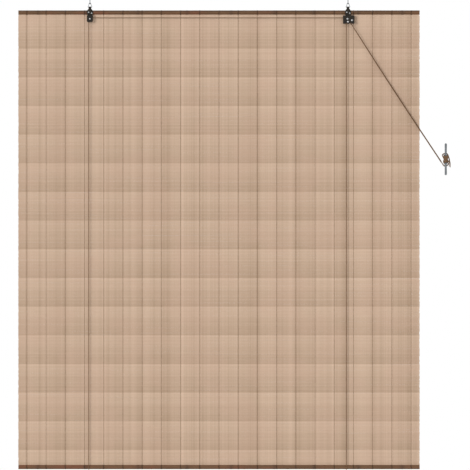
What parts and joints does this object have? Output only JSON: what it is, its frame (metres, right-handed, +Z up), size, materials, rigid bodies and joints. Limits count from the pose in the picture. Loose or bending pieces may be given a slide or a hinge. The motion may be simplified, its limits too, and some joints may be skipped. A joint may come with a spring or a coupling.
{
  "type": "bamboo roll-up blind",
  "caption": "Roll-up window blind of woven bamboo splints between battens, hung on screw hooks, with lift cords, a cord lock and a wall cleat.",
  "frame": {"origin": "midway between the two screw hooks, on the ceiling face that they go into", "axes": "+X to the right as seen from the room, +Y away from the room through the blind, +Z up along the hooks"},
  "size_m": [1.5096, 0.0566, 1.6733],
  "materials": {
    "bamboo_splints": "matt outer skin of split bamboo, in bands of lighter and darker splints",
    "warp_thread": "brown twisted cotton thread",
    "bamboo_batten": "brown stained half-round bamboo, satin",
    "binding_thread": "dark brown cotton thread",
    "black_steel": "black painted sheet steel, semi-gloss",
    "bright_steel": "bright plated steel, satin",
    "zinc_wire": "zinc-plated steel wire",
    "sheave_plastic": "off-white moulded plastic",
    "roller_brass": "turned brass",
    "cam_brass": "cast brass with a toothed flank",
    "cord": "brown cord of three twisted strands",
    "cleat_metal": "grey cast metal, satin"
  },
  "bodies": {
    "fixings": {"screw_hook_left": "zinc_wire", "screw_hook_right": "zinc_wire", "hanging_ring_left": "zinc_wire", "hanging_ring_right": "zinc_wire", "cleat": "cleat_metal", "cleat_screws": "bright_steel", "cord_winding": "cord", "cord_tail": "cord", "pull_cord_left": "cord", "pull_cord_right": "cord"},
    "blind": {"mat": "bamboo_splints", "warp_threads": "warp_thread", "head_batten_front": "bamboo_batten", "head_batten_back": "bamboo_batten", "foot_batten_front": "bamboo_batten", "foot_batten_back": "bamboo_batten", "head_bindings": "binding_thread", "foot_bindings": "binding_thread", "pulley_back_plate": "black_steel", "pulley_front_plate": "black_steel", "pulley_axle": "bright_steel", "pulley_rivets": "bright_steel", "lock_back_plate": "black_steel", "lock_front_plate": "black_steel", "lock_sheave_axle": "bright_steel", "lock_guide_axle": "bright_steel", "lock_cam_pin": "bright_steel", "lock_rivets": "bright_steel", "rivet_washers": "bright_steel", "cord_staples": "zinc_wire", "cord_knots": "cord", "lift_cord_left": "cord", "lift_cord_right": "cord"},
    "pulley_wheel": {"pulley_sheave": "sheave_plastic"},
    "lock_wheel": {"lock_sheave": "sheave_plastic"},
    "guide_wheel": {"lock_guide_roller": "roller_brass"},
    "locking_cam": {"lock_cam": "cam_brass"}
  },
  "joints": [
    {"name": "blind_swing", "type": "hinge", "parent": "fixings", "child": "blind", "pos_m": [0, 0, -0.0365], "axis": [1, 0, 0], "range_deg": [-6, 8], "deforming": ["pull_cord_left", "pull_cord_right"]},
    {"name": "pulley_spin", "type": "hinge", "parent": "blind", "child": "pulley_wheel", "pos_m": [-0.45, -0.0122, -0.0773], "axis": [0, 1, 0], "continuous": true},
    {"name": "lock_wheel_spin", "type": "hinge", "parent": "blind", "child": "lock_wheel", "pos_m": [0.44805, -0.0122, -0.0773], "axis": [0, 1, 0], "continuous": true},
    {"name": "guide_wheel_spin", "type": "hinge", "parent": "blind", "child": "guide_wheel", "pos_m": [0.4496, -0.0122, -0.08735], "axis": [0, 1, 0], "continuous": true},
    {"name": "cam_tilt", "type": "hinge", "parent": "blind", "child": "locking_cam", "pos_m": [0.4635, -0.0122, -0.08205], "axis": [0, 1, 0], "range_deg": [-30, 0]}
  ],
  "couplings": [
    {"joint": "lock_wheel_spin", "follows": "pulley_spin", "ratio": 1},
    {"joint": "guide_wheel_spin", "follows": "pulley_spin", "ratio": 1.0694}
  ]
}
